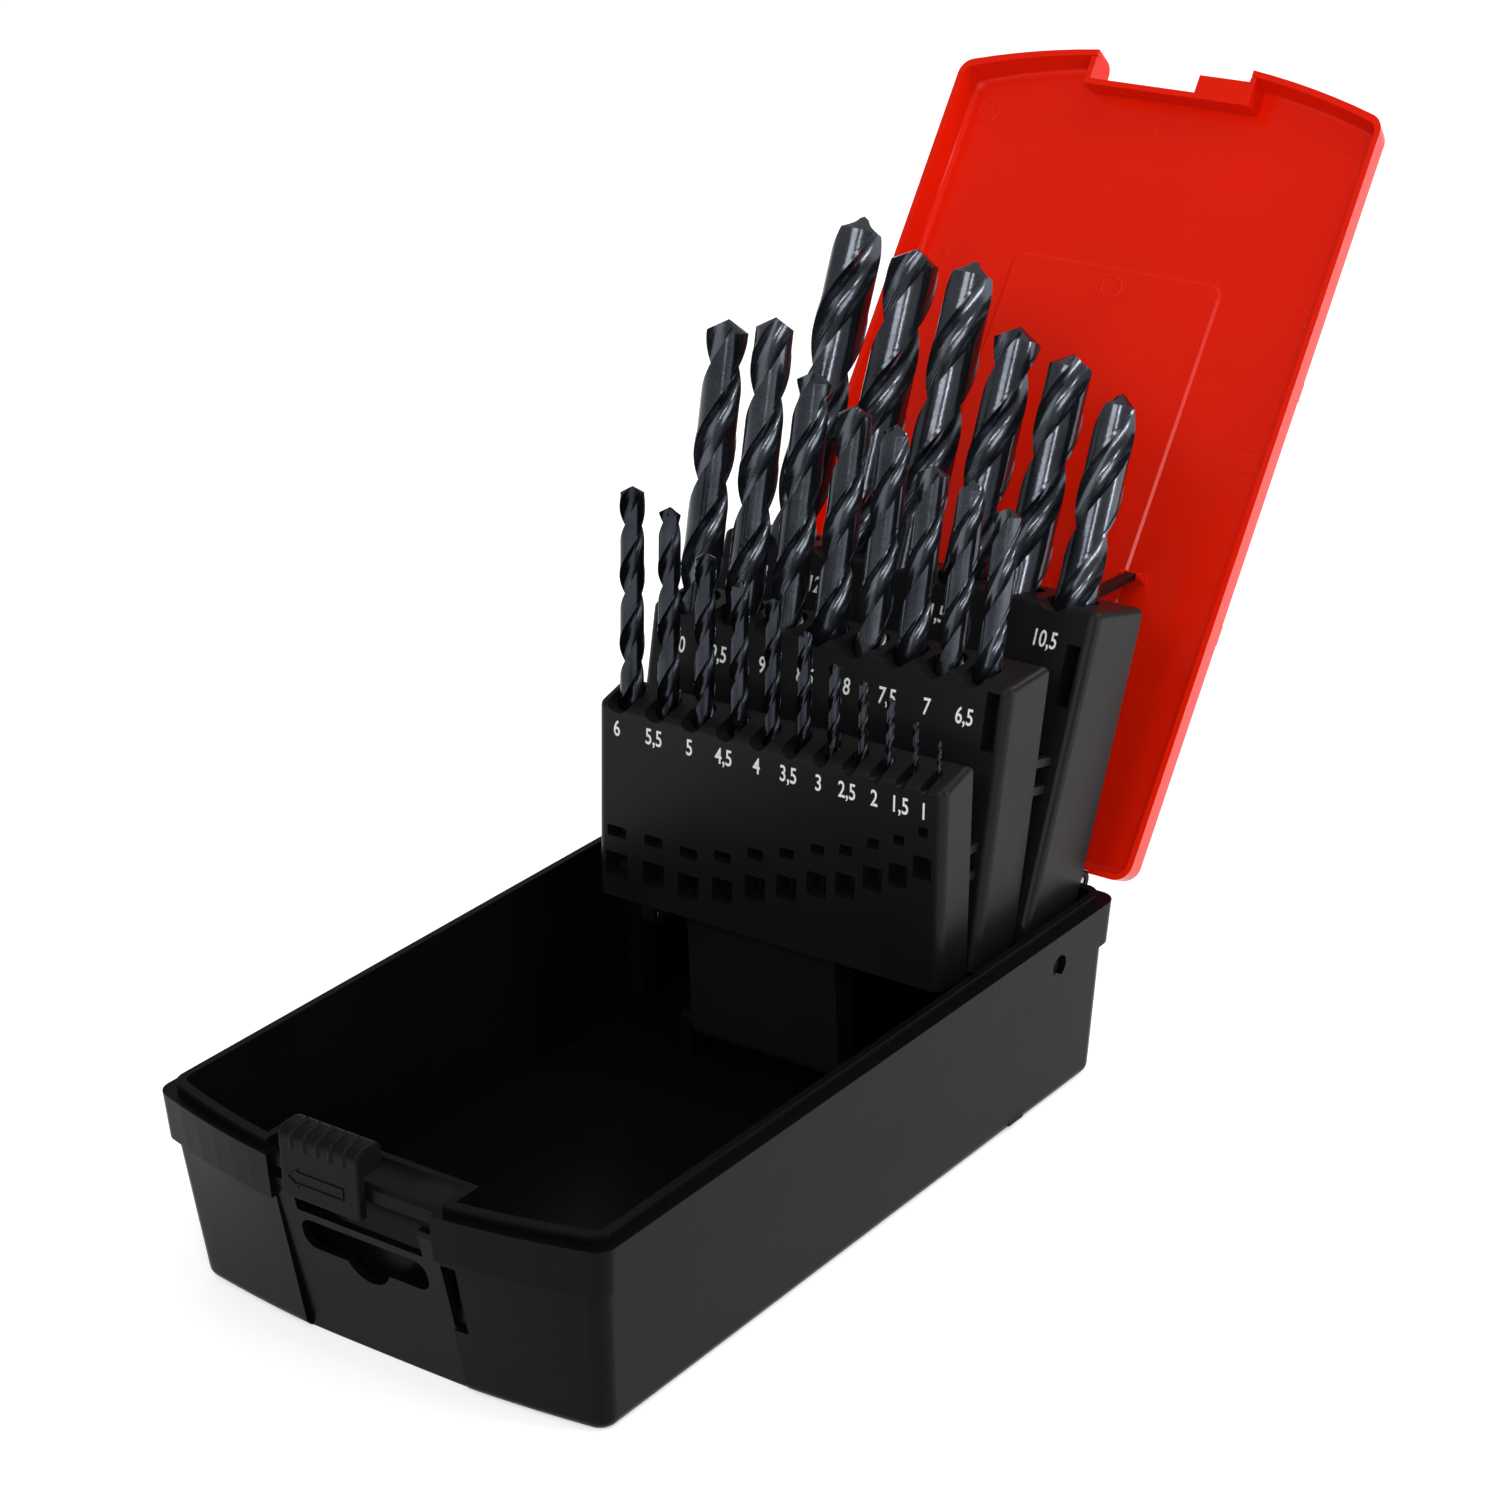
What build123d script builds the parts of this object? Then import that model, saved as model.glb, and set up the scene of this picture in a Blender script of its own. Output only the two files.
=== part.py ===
from build123d import *
from math import acos, cos, degrees, radians, sin, tan
import os

# Drill bit case: black tray with three tip-up racks, red lid on a rear hinge, sliding latch
# and 25 twist drills. Shown open: lid back, racks up, latch slid to the left, drills seated.
# Frame: X to the right seen from the latch, Y to the rear (hinge side), Z up, mm.
# The origin is at the middle of the tray's underside.

os.makedirs("parts", exist_ok=True)

# Tray at its widest, the top edge of the band
tray_half = 61.5
tray_front_y = -98.2
tray_rear_y = 98.0
# Tray outline at five levels: half width, front corner Y, bow of the front, rear Y
floor_outline = (tray_half - 5.2, tray_front_y + 4.2, 4.3, tray_rear_y - 2.0)
shoulder_outline = (tray_half - 2.3, tray_front_y + 1.3, 8.5, tray_rear_y - 1.1)
band_low_outline = (tray_half - 0.9, tray_front_y + 0.3, 8.8, tray_rear_y - 0.6)
band_top_outline = (tray_half, tray_front_y, 9.3, tray_rear_y)
lip_outline = (tray_half - 2.5, tray_front_y + 2.1, 9.2, tray_rear_y - 2.6)
band_low_z = 36.0
band_top_z = 46.8
lip_top_z = 49.0
wall = 2.0
lip_wall = 1.8
inner_half = lip_outline[0] - lip_wall
floor_z = 2.2
step_z = 38.0
corner_radius = 4.5
bottom_edge_radius = 3.2
overlap = 0.5

# Front recess for the latch, hang slot and centre panel
recess_half = 22.3
recess_wall_y = tray_front_y + 2.2
panel_foot_y = tray_front_y + 2.1
panel_head_y = tray_front_y - 5.1
plate_top_z = 34.0
channel_floor_z = 16.0
bar_front_y = tray_front_y - 6.3
bar_back_y = bar_front_y + 2.0
bar_low_z = 43.6
bar_top_z = 46.6
post_width = 5.0
post_top_z = 41.0
slot_half = recess_half - post_width
slot_low_z = 24.3
slot_top_z = 32.0
slot_end_radius = 3.2
bump_radius = 6.0
bump_low_z = 20.3
notch_width = 4.2
notch_low_z = 17.0
notch_back_y = tray_front_y - 0.3
far_front = tray_front_y - 17.0

# Lid
lid_top_z = band_top_z + 8.6
lid_rear_y = tray_rear_y + 0.7
lid_rim_wall = 1.5
lid_side_inset = 0.4
# Half width of the gap in the tray's lip that takes the walls of the lid's front recess
cheek_gap = 0.2
cheek_room_half = recess_half + lid_rim_wall + cheek_gap
lid_top_wall = 1.9
lid_draft = 1.3
lid_edge_radius = 3.2
lid_inner_radius = 1.6
lid_recess_y = tray_front_y - 0.2
recess_cheek_reach = 6.0
tab_left_x = 8.0
tab_front_y = lid_recess_y - 4.8
tab_low_z = bar_top_z + 0.4
tab_thickness = 1.8
label_half = 29.8
label_front_y = tray_front_y + 46.7
label_rear_y = tray_rear_y - 44.0
label_radius = 3.0
label_depth = 0.5
label_plateau = 0.4
label_edge_angle = 62.0
nib_length = 5.0
nib_places = (-29.0, 34.0)
nib_inner_x = tray_half - 2.8
nib_low_z = lip_top_z + 1.3

# Lid hinge
hinge_y = tray_rear_y + 2.8
hinge_z = band_top_z - 0.2
lid_open_angle = 126.0
knuckle_radius = 2.5
knuckle_gap = 0.3
hinge_pin_diameter = 2.2
pin_clearance = 0.06
hinge_middle_x = 40.0
base_knuckle_length = 6.0
lid_knuckle_length = 7.4
lid_web_low_z = band_top_z

# Latch, sliding along X on the bar of the recess: its left end when shut, and when open
latch_shut_x = -4.1
latch_travel = 13.5
latch_left_x = latch_shut_x - latch_travel
latch_width = 21.6
latch_front_y = bar_front_y - 2.5
latch_rear_y = latch_front_y + 8.0
latch_top_z = lid_top_z + 1.0
latch_wall = 1.9
latch_gap = 0.25
latch_leg_width = 9.5
latch_ribs = 5
latch_cap_z = lip_top_z + 0.2
latch_plate_low_z = 39.6
latch_lip_low_z = 41.2
latch_leg_thickness = 1.8
latch_rounding = 2.6
latch_side_rounding = 0.5
latch_rib_radius = 0.7
latch_rib_pitch = 3.6

# Racks: pivot place, pivot place measured from the front top edge (behind it, above it),
# open lean, thickness, room between each end and the tray, body height below the notch
# line, and height of the rear top edge before it is rounded
rack_sizes = {
    "front": dict(pivot=(hinge_y - 54.8, 11.4), seat=(8.6, -77.6), lean=3.45, thick=11.6,
                  end_room=8.0, body=47.0, ridge=5.8),
    "middle": dict(pivot=(hinge_y - 39.8, 27.8), seat=(12.8, -77.6), lean=13.1, thick=16.2,
                   end_room=6.2, body=65.0, ridge=6.0),
    "rear": dict(pivot=(hinge_y - 28.0, 38.6), seat=(6.8, -80.0), lean=23.9, thick=20.8,
                 end_room=3.4, body=85.0, ridge=5.4),
}
rack_half = {name: inner_half - size["end_room"] for name, size in rack_sizes.items()}

# Drill lengths of the jobber series: diameter, overall length, flute length
jobber_lengths = {
    1.0: (34, 12), 1.5: (40, 18), 2.0: (49, 24), 2.5: (57, 30), 3.0: (61, 33),
    3.5: (70, 39), 4.0: (75, 43), 4.5: (80, 47), 5.0: (86, 52), 5.5: (93, 57),
    6.0: (93, 57), 6.5: (101, 63), 7.0: (109, 69), 7.5: (109, 69), 8.0: (117, 75),
    8.5: (117, 75), 9.0: (125, 81), 9.5: (125, 81), 10.0: (133, 87), 10.5: (133, 87),
    11.0: (142, 94), 11.5: (142, 94), 12.0: (151, 101), 12.5: (151, 101), 13.0: (151, 101),
}
# Drills of each rack from left to right: diameter, how deep each one stands below the
# notch line, and how far below that line its large front window is centred
drill_rows = {
    "front": ((6.0, 38.5, 38.9), (5.5, 41.5, 38.8), (5.0, 43.5, 39.2), (4.5, 42.0, 37.6),
              (4.0, 39.5, 34.5), (3.5, 40.5, 32.1), (3.0, 37.5, 29.0), (2.5, 36.0, 27.2),
              (2.0, 30.5, 23.6), (1.5, 25.5, 21.0), (1.0, 22.5, 17.5)),
    "middle": ((10.0, 62.0, 54.0), (9.5, 51.5, 48.0), (9.0, 62.0, 54.0), (8.5, 60.0, 53.0),
               (8.0, 62.5, 54.0), (7.5, 62.0, 54.0), (7.0, 63.5, 54.0), (6.5, 60.0, 53.0)),
    "rear": ((13.0, 67.5, 60.0), (12.5, 73.0, 62.0), (12.0, 73.5, 62.0), (11.5, 78.0, 64.0),
             (11.0, 82.0, 65.0), (10.5, 80.0, 65.0)),
}
# How far the first and last drill of each row stand in from the rack's ends
row_margins = {"front": (5.9, 5.4), "middle": (7.8, 11.2), "rear": (13.7, 12.5)}
notch_extra = 1.3
pocket_clearance = 0.35
rack_front_rise = 1.8
rack_top_radius = 1.8
rack_corner_radius = 2.4
window_gap = 8.7
window_radius = 0.4
window_width = 4.6
window_height = 5.2
window_shares = (0.32, 0.22)
slit_width = 2.0
slit_height = 2.2
slit_shares = (0.62, 0.1)
heel_rise = 13.0
heel_set_back = 5.0

# Prongs on the right of a rack's back: distance in from its end, height and length of each.
# The next rack has a pocket in its front that takes them when folded: which rack's prongs,
# height range, depth
prongs = {
    "front": dict(inset=1.2, places=((-16.5, 5.0), (-23.0, 4.0))),
    "middle": dict(inset=0.4, places=((-17.6, 7.0), (-24.2, 5.8))),
}
prong_pockets = {
    "middle": dict(takes="front", span=(-13.5, 0.2), depth=5.2),
    "rear": dict(takes="middle", span=(-21.0, -6.6), depth=7.2),
}
prong_height = 2.0
prong_width = 2.4
prong_side_gap = 0.6

# Link levers between the back of the rear rack and ears in the lid, folding flat into
# channels; pivots are given behind the rack's front face and above its notch line
link_x = 33.0
link_width = 3.0
link_side_gap = 0.3
link_root_radius = 1.0
link_tip_radius = 0.7
link_pivot = (19.6, 0.5)
link_length = 32.4
link_open_angle = 21.0
link_pin_radius = 0.7
link_pin_gap = 0.08
link_pin_reach = 1.2
channel_depth = 2.6
channel_top = 2.1
ear_pivot_reach = 76.15
ear_pivot_height = 4.8
ear_radius = 1.1
ear_thickness = 1.4
ear_room = 3.6
tip_room = 2.0
ear_room_below = 2.5
ear_room_above = 4.0

# Rack bearings
front_leg = (-24.6, 18.4)
leg_radius = 3.0
lug_gap = 0.4
lug_width = 3.0
rack_pin_diameter = 3.0
middle_pin_end_x = tray_half - 6.6
pin_setback = 0.3
pin_chamfer = 0.3
middle_leg_width = 3.8
leg_front_v = 3.0
leg_top_overlap = 2.0
rack_side_gap = 0.4
middle_boss_x = rack_half["middle"] + rack_side_gap
side_boss_end_x = tray_half - 4.9
middle_bore_end_x = middle_pin_end_x + pin_setback
trunnion_diameter = 5.5
trunnion_clearance = 0.08
trunnion_end_x = tray_half - 2.5
rear_boss_radius = 4.3
rear_boss_x = rack_half["rear"] + rack_side_gap
trunnion_boss_end_x = trunnion_end_x - 0.5

# Drills
point_angle = 118.0
helix_lead = 5.6
flute_radius_share = 0.36
flute_centre_share = 0.445
land_relief_share = 0.028
margin_angle = 9.0
drill_turn_step = 67.0
shank_end_chamfer = 0.08
seat_gap = 0.1


def outline(sizes, inset=0.0):
    """Tray outline with a bowed front."""
    half, front_y, bow, rear_y = sizes
    side, front, rear = half - inset, front_y + inset, rear_y - inset
    with BuildSketch(mode=Mode.PRIVATE) as shape:
        with BuildLine():
            Line((-side, front), (-side, rear))
            Line((-side, rear), (side, rear))
            Line((side, rear), (side, front))
            ThreePointArc((side, front), (0, front - bow), (-side, front))
        make_face()
        fillet(shape.vertices(), corner_radius - min(inset, wall))
    return shape.sketch


def tray_block(low, low_z, high, high_z, low_inset=0.0, high_inset=0.0):
    """Solid between two tray outlines."""
    with BuildPart(mode=Mode.PRIVATE) as block:
        with BuildSketch(Plane.XY.offset(low_z)):
            add(outline(low, low_inset))
        with BuildSketch(Plane.XY.offset(high_z)):
            add(outline(high, high_inset))
        loft()
    return block.part


def box_between(x_range, y_range, z_range, mode=Mode.ADD):
    """Box from lowest to highest X, Y and Z."""
    spans = [b - a for a, b in (x_range, y_range, z_range)]
    middle = [(a + b) / 2 for a, b in (x_range, y_range, z_range)]
    with Locations(tuple(middle)):
        Box(*spans, mode=mode)


def rod_along_x(x_range, y, z, radius, mode=Mode.ADD):
    """Round rod along X from one X to another."""
    with Locations(Location(((x_range[0] + x_range[1]) / 2, y, z), (0, 90, 0))):
        Cylinder(radius, x_range[1] - x_range[0], mode=mode)


def side_profile(points, x_range):
    """Prism along X with its outline given as Y, Z points."""
    with BuildPart(mode=Mode.PRIVATE) as prism:
        with BuildSketch(Plane.YZ.offset(x_range[0])):
            with BuildLine():
                Polyline(*points, close=True)
            make_face()
        extrude(amount=x_range[1] - x_range[0])
    return prism.part


def panel_y(z):
    """Front face of the sloping centre panel at a height."""
    return panel_foot_y + (panel_head_y - panel_foot_y) * z / plate_top_z


# Room inside the tray, with the block behind the latch left standing
with BuildPart() as tray_room:
    add(tray_block(floor_outline, floor_z, shoulder_outline, step_z, wall, wall))
    with BuildSketch(Plane.XY.offset(step_z)):
        add(outline(lip_outline, lip_wall))
    extrude(amount=lip_top_z - step_z + 1)
    box_between((-cheek_room_half - lip_wall, cheek_room_half + lip_wall),
                (far_front, recess_wall_y + lip_wall), (-1, lip_top_z + 2), Mode.SUBTRACT)

full_recess = (-recess_half, recess_half)
slot_span = (-slot_half, slot_half)
base_knuckles = []
for side in (-1, 1):
    for end in (-1, 1):
        near = lid_knuckle_length / 2 + knuckle_gap
        ends = sorted((side * hinge_middle_x + end * near,
                       side * hinge_middle_x + end * (near + base_knuckle_length)))
        base_knuckles.append(tuple(ends))

with BuildPart() as case_base:
    add(tray_block(floor_outline, 0, shoulder_outline, band_low_z))
    fillet(case_base.faces().sort_by(Axis.Z)[0].edges(), bottom_edge_radius)
    add(tray_block(band_low_outline, band_low_z, band_top_outline, band_top_z))
    with BuildSketch(Plane.XY.offset(band_top_z)):
        add(outline(lip_outline))
    extrude(amount=lip_top_z - band_top_z)
    add(tray_room.part, mode=Mode.SUBTRACT)
    # recess for the latch: open above the bar, window below it, channel behind it
    box_between((-cheek_room_half, cheek_room_half), (far_front, recess_wall_y), (band_top_z, lip_top_z + 1),
                Mode.SUBTRACT)
    box_between(full_recess, (far_front, recess_wall_y), (bar_top_z, lip_top_z + 1), Mode.SUBTRACT)
    box_between(full_recess, (far_front, bar_front_y), (plate_top_z, bar_top_z), Mode.SUBTRACT)
    box_between(full_recess, (bar_back_y, recess_wall_y), (plate_top_z, bar_top_z), Mode.SUBTRACT)
    below_bar = [(panel_y(-1), -1), (panel_y(bar_low_z), bar_low_z), (far_front, bar_low_z), (far_front, -1)]
    add(side_profile(below_bar, full_recess), mode=Mode.SUBTRACT)
    box_between(slot_span, (far_front, bar_back_y), (plate_top_z, bar_low_z), Mode.SUBTRACT)
    box_between(full_recess, (far_front, bar_back_y), (post_top_z, bar_low_z), Mode.SUBTRACT)
    channel = [(panel_y(channel_floor_z) + wall, channel_floor_z), (panel_y(plate_top_z) + wall, plate_top_z),
               (recess_wall_y, plate_top_z), (recess_wall_y, channel_floor_z)]
    add(side_profile(channel, full_recess), mode=Mode.SUBTRACT)
    # wide hang slot with a round dip in the middle
    with BuildSketch(Plane.XZ.offset(-recess_wall_y)):
        with Locations((0, (slot_low_z + slot_top_z) / 2)):
            RectangleRounded(2 * slot_half, slot_top_z - slot_low_z, slot_end_radius)
        with Locations((0, bump_low_z + bump_radius)):
            Circle(bump_radius)
        with Locations((0, slot_top_z + bump_radius)):
            Rectangle(2 * slot_half, 2 * bump_radius, mode=Mode.SUBTRACT)
    extrude(amount=recess_wall_y - far_front, mode=Mode.SUBTRACT)
    box_between((recess_half - overlap, recess_half + notch_width - overlap), (far_front, notch_back_y),
                (notch_low_z, plate_top_z), Mode.SUBTRACT)
    # bearings for the racks
    front_pivot = rack_sizes["front"]["pivot"]
    for lug_x in (front_leg[0] - lug_gap - lug_width, front_leg[1] + lug_gap):
        lug = (lug_x, lug_x + lug_width)
        box_between(lug, (front_pivot[0] - leg_radius, front_pivot[0] + leg_radius),
                    (floor_z - overlap, front_pivot[1]))
        rod_along_x(lug, *front_pivot, leg_radius)
    middle_pivot = rack_sizes["middle"]["pivot"]
    rear_pivot = rack_sizes["rear"]["pivot"]
    for side in (-1, 1):
        boss = tuple(sorted((side * middle_boss_x, side * side_boss_end_x)))
        box_between(boss, (middle_pivot[0] - leg_radius, middle_pivot[0] + leg_radius),
                    (floor_z - overlap, middle_pivot[1]))
        rod_along_x(boss, *middle_pivot, leg_radius)
        trunnion_boss = tuple(sorted((side * rear_boss_x, side * trunnion_boss_end_x)))
        rod_along_x(trunnion_boss, *rear_pivot, rear_boss_radius)
    pin_bore = rack_pin_diameter / 2 + pin_clearance
    lug_reach = lug_gap + lug_width + 1
    rod_along_x((front_leg[0] - lug_reach, front_leg[1] + lug_reach), *front_pivot, pin_bore, Mode.SUBTRACT)
    rod_along_x((-middle_bore_end_x, middle_bore_end_x), *middle_pivot, pin_bore, Mode.SUBTRACT)
    trunnion_bore = trunnion_diameter / 2 + trunnion_clearance
    rod_along_x((-tray_half - 1, tray_half + 1), *rear_pivot, trunnion_bore, Mode.SUBTRACT)
    # hinge knuckles at the rear
    for ends in base_knuckles:
        rod_along_x(ends, hinge_y, hinge_z, knuckle_radius)
        box_between(ends, (band_top_outline[3] - 1, hinge_y), (hinge_z - knuckle_radius, hinge_z))
        rod_along_x(ends, hinge_y, hinge_z, hinge_pin_diameter / 2 + pin_clearance, Mode.SUBTRACT)
case_base.part.label = "case_base"
export_step(case_base.part, "parts/case_base.step")


# Hinge axis and the turn that takes the lid from closed to its open rest pose
hinge_line = Location((0, hinge_y, hinge_z))
lid_turn = hinge_line * Location((0, 0, 0), (-lid_open_angle, 0, 0)) * hinge_line.inverse()
lid_rim_outline = (band_top_outline[0] - lid_side_inset, band_top_outline[1], band_top_outline[2], lid_rear_y)
lid_top_outline = (lid_rim_outline[0] - lid_draft, lid_rim_outline[1] + lid_draft, lid_rim_outline[2],
                   lid_rim_outline[3] - lid_draft)
lid_inner_z = lid_top_z - lid_top_wall
hinge_centres = (-hinge_middle_x, hinge_middle_x)


def lid_knuckle_span(centre):
    """X range of the lid knuckle at one hinge."""
    return (centre - lid_knuckle_length / 2, centre + lid_knuckle_length / 2)


# Room inside the lid
with BuildPart() as lid_room:
    add(tray_block(lid_rim_outline, band_top_z, lid_top_outline, lid_inner_z, lid_rim_wall, lid_rim_wall))
    fillet(lid_room.faces().sort_by(Axis.Z)[-1].edges(), lid_inner_radius)

with BuildPart() as lid:
    add(tray_block(lid_rim_outline, band_top_z, lid_top_outline, lid_top_z))
    fillet(lid.faces().sort_by(Axis.Z)[-1].edges(), lid_edge_radius)
    add(lid_room.part, mode=Mode.SUBTRACT)
    # front recess for the latch with its own wall and the locking tab
    box_between((-recess_half - lid_rim_wall, recess_half + lid_rim_wall),
                (lid_recess_y - recess_cheek_reach, lid_recess_y + lid_rim_wall),
                (band_top_z, lid_inner_z + overlap))
    box_between(full_recess, (far_front, lid_recess_y), (band_top_z - 1, lid_top_z + 1), Mode.SUBTRACT)
    box_between((tab_left_x, recess_half), (tab_front_y, lid_recess_y),
                (tab_low_z, tab_low_z + tab_thickness))
    # sunk label field on top, standing proud inside
    inner_field = (lid_inner_z - label_plateau, label_plateau + 0.1, -label_edge_angle, Mode.ADD)
    outer_field = (lid_top_z - label_depth, label_depth + 1, 0, Mode.SUBTRACT)
    for low_z, height, lean, mode in (inner_field, outer_field):
        with BuildSketch(Plane.XY.offset(low_z)):
            with Locations((0, (label_front_y + label_rear_y) / 2)):
                RectangleRounded(2 * label_half, label_rear_y - label_front_y, label_radius)
        extrude(amount=height, taper=lean, mode=mode)
    # stop nibs inside the side walls
    for nib_y in nib_places:
        for side in (-1, 1):
            nib = tuple(sorted((side * nib_inner_x, side * (lid_rim_outline[0] - 1))))
            box_between(nib, (nib_y - nib_length / 2, nib_y + nib_length / 2), (nib_low_z, lid_inner_z))
    # pairs of ears inside the top for the link levers
    ear_y, ear_z = hinge_y - ear_pivot_reach, hinge_z + ear_pivot_height
    for x in (-link_x, link_x):
        for side in (-1, 1):
            inner = x + side * (link_width / 2 + link_side_gap)
            ear = tuple(sorted((inner, inner + side * ear_thickness)))
            rod_along_x(ear, ear_y, ear_z, ear_radius)
            box_between(ear, (ear_y - ear_radius, ear_y + ear_radius), (ear_z, lid_inner_z + overlap))
    # hinge knuckles, with room for the tray's knuckles
    for ends in base_knuckles:
        rod_along_x((ends[0] - knuckle_gap, ends[1] + knuckle_gap), hinge_y, hinge_z,
                    knuckle_radius + knuckle_gap, Mode.SUBTRACT)
    for centre in hinge_centres:
        rod_along_x(lid_knuckle_span(centre), hinge_y, hinge_z, knuckle_radius)
        box_between(lid_knuckle_span(centre), (lid_rear_y - lid_rim_wall, hinge_y),
                    (lid_web_low_z, hinge_z + knuckle_radius))
        rod_along_x(lid_knuckle_span(centre), hinge_y, hinge_z, hinge_pin_diameter / 2, Mode.SUBTRACT)
lid.part = lid_turn * lid.part
lid.part.label = "lid"
export_step(lid.part, "parts/lid.step")

# Latch: cap on top, plate in front of the bar, hook round the bar from below
latch_x = (latch_left_x, latch_left_x + latch_width)
plate_y = (latch_front_y, bar_front_y - latch_gap)
hook_z = (latch_lip_low_z, bar_low_z - latch_gap)
latch_leg_y = (bar_back_y + latch_gap, bar_back_y + latch_gap + latch_leg_thickness)
with BuildPart() as latch_slider:
    box_between(latch_x, (latch_front_y, latch_rear_y), (latch_cap_z, latch_top_z - latch_rib_radius))
    box_between(latch_x, plate_y, (latch_plate_low_z, latch_cap_z + 1))
    long_edges = latch_slider.edges().filter_by(Axis.X)
    top_edges = long_edges.group_by(Axis.Z)[-1]
    fillet(top_edges, latch_rounding)
    fillet(latch_slider.faces().sort_by(Axis.Y)[0].edges().filter_by(Axis.Z), latch_side_rounding)
    box_between((latch_x[0] + latch_wall, latch_x[1] - latch_wall),
                (latch_front_y + latch_wall, latch_rear_y - latch_wall),
                (latch_cap_z - 1, latch_top_z - latch_rib_radius - latch_wall), Mode.SUBTRACT)
    box_between((latch_x[0], latch_x[0] + latch_leg_width), (plate_y[1] - overlap, latch_leg_y[1]), hook_z)
    box_between((latch_x[0], latch_x[0] + latch_leg_width), latch_leg_y, (hook_z[0], latch_cap_z + 1))
    rib_middle = (latch_x[0] + latch_x[1]) / 2
    rib_z = latch_top_z - latch_rib_radius
    with Locations(Location((rib_middle, (latch_front_y + latch_rear_y) / 2, rib_z), (90, 0, 0))):
        with GridLocations(latch_rib_pitch, 1, latch_ribs, 1):
            Cylinder(latch_rib_radius, latch_rear_y - latch_front_y - 2 * latch_rounding)
latch_slider.part.label = "latch_slider"
export_step(latch_slider.part, "parts/latch_slider.step")


def rack_place(name):
    """Where a rack's own frame sits: X along the row, Y behind the front face, Z up the rack,
    origin on the front face at the notch line."""
    size = rack_sizes[name]
    lean = radians(size["lean"])
    behind, above = size["seat"]
    y = size["pivot"][0] - above * sin(lean) - behind * cos(lean)
    z = size["pivot"][1] - above * cos(lean) + behind * sin(lean)
    return Location((0, y, z), (-size["lean"], 0, 0))


def drill_places(name):
    """X of each drill in a row, with equal gaps between neighbours."""
    row = drill_rows[name]
    widths = [drill[0] for drill in row]
    first = row_margins[name][0] - rack_half[name]
    last = rack_half[name] - row_margins[name][1]
    spread = sum(widths) - (widths[0] + widths[-1]) / 2
    gap = (last - first - spread) / (len(row) - 1)
    places = [first]
    for left, right in zip(widths, widths[1:]):
        places.append(places[-1] + (left + right) / 2 + gap)
    return places


def prong_range(name, gap=0.0):
    """X range of a rack's prongs, widened by a gap on both sides."""
    right = rack_half[name] - prongs[name]["inset"]
    return (right - prong_width - gap, right + gap)


def rack_block(name, low_front_cut=False):
    """Rack with its sloping top, pockets, notches and windows, in its own frame."""
    size = rack_sizes[name]
    thick, half, body, ridge = size["thick"], rack_half[name], size["body"], size["ridge"]
    middle = thick / 2
    with BuildPart(mode=Mode.PRIVATE) as block:
        with BuildSketch(Plane.YZ.offset(-half)):
            with BuildLine():
                Polyline((0, -body), (0, rack_front_rise), (thick, ridge), (thick, -body), close=True)
            make_face()
        extrude(amount=2 * half)
        upright = block.edges().filter_by(Axis.Z)
        fillet(upright.group_by(Axis.Y)[0], rack_corner_radius)
        fillet(block.faces().sort_by(Axis.Z)[-1].edges(), rack_top_radius)
        if low_front_cut:
            with BuildSketch(Plane.YZ.offset(-half)):
                with BuildLine():
                    Polyline((-1, -body - 1), (-1, heel_rise - body), (0, heel_rise - body),
                             (heel_set_back, -body), (heel_set_back, -body - 1), close=True)
                make_face()
            extrude(amount=2 * half, mode=Mode.SUBTRACT)
        for x, (width, depth, window) in zip(drill_places(name), drill_rows[name]):
            pocket = width / 2 + pocket_clearance
            bottom = -depth - seat_gap
            with Locations((x, middle, (bottom + ridge + 1) / 2)):
                Cylinder(pocket, ridge + 1 - bottom, mode=Mode.SUBTRACT)
            notch = (width + notch_extra) / 2
            with BuildSketch(Plane.XZ.offset(-middle)):
                with Locations((x, notch)):
                    Circle(notch)
                with Locations((x, notch + ridge)):
                    Rectangle(2 * notch, 2 * ridge)
            extrude(amount=middle + 1, mode=Mode.SUBTRACT)
            with BuildSketch(Plane.XZ.offset(1)):
                with Locations((x, -window)):
                    RectangleRounded(window_width + window_shares[0] * width,
                                     window_height + window_shares[1] * width, window_radius)
                with Locations((x, window_gap - window)):
                    RectangleRounded(slit_width + slit_shares[0] * width,
                                     slit_height + slit_shares[1] * width, window_radius)
            extrude(amount=-middle - 1, mode=Mode.SUBTRACT)
        if name in prong_pockets:
            room = prong_pockets[name]
            box_between(prong_range(room["takes"], prong_side_gap), (-1, room["depth"]), room["span"],
                        Mode.SUBTRACT)
        if name in prongs:
            for height, length in prongs[name]["places"]:
                box_between(prong_range(name), (thick - overlap, thick + length),
                            (height - prong_height / 2, height + prong_height / 2))
    return block.part


def leg(x_range, name, front_v, rear_v):
    """Bearing leg below a rack, ending round its pivot, in the rack's own frame."""
    size = rack_sizes[name]
    behind, above = size["seat"]
    top = leg_top_overlap - size["body"]
    with BuildPart(mode=Mode.PRIVATE) as arm:
        with BuildSketch(Plane.YZ.offset(x_range[0])):
            with BuildLine():
                Polyline((front_v, top), (rear_v, top), (behind + leg_radius, above),
                         (behind - leg_radius, above), close=True)
            make_face()
            with Locations((behind, above)):
                Circle(leg_radius)
        extrude(amount=x_range[1] - x_range[0])
    return arm.part


def seat_point(name):
    """Pivot in a rack's own frame, as Y and Z."""
    return rack_sizes[name]["seat"]


pin_radius = rack_pin_diameter / 2

with BuildPart() as rack_front:
    add(rack_block("front"))
    add(leg(front_leg, "front", leg_front_v, rack_sizes["front"]["thick"]))
    rod_along_x(front_leg, *seat_point("front"), pin_radius, Mode.SUBTRACT)
rack_front.part = rack_place("front") * rack_front.part
rack_front.part.label = "rack_front"
export_step(rack_front.part, "parts/rack_front.step")

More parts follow.
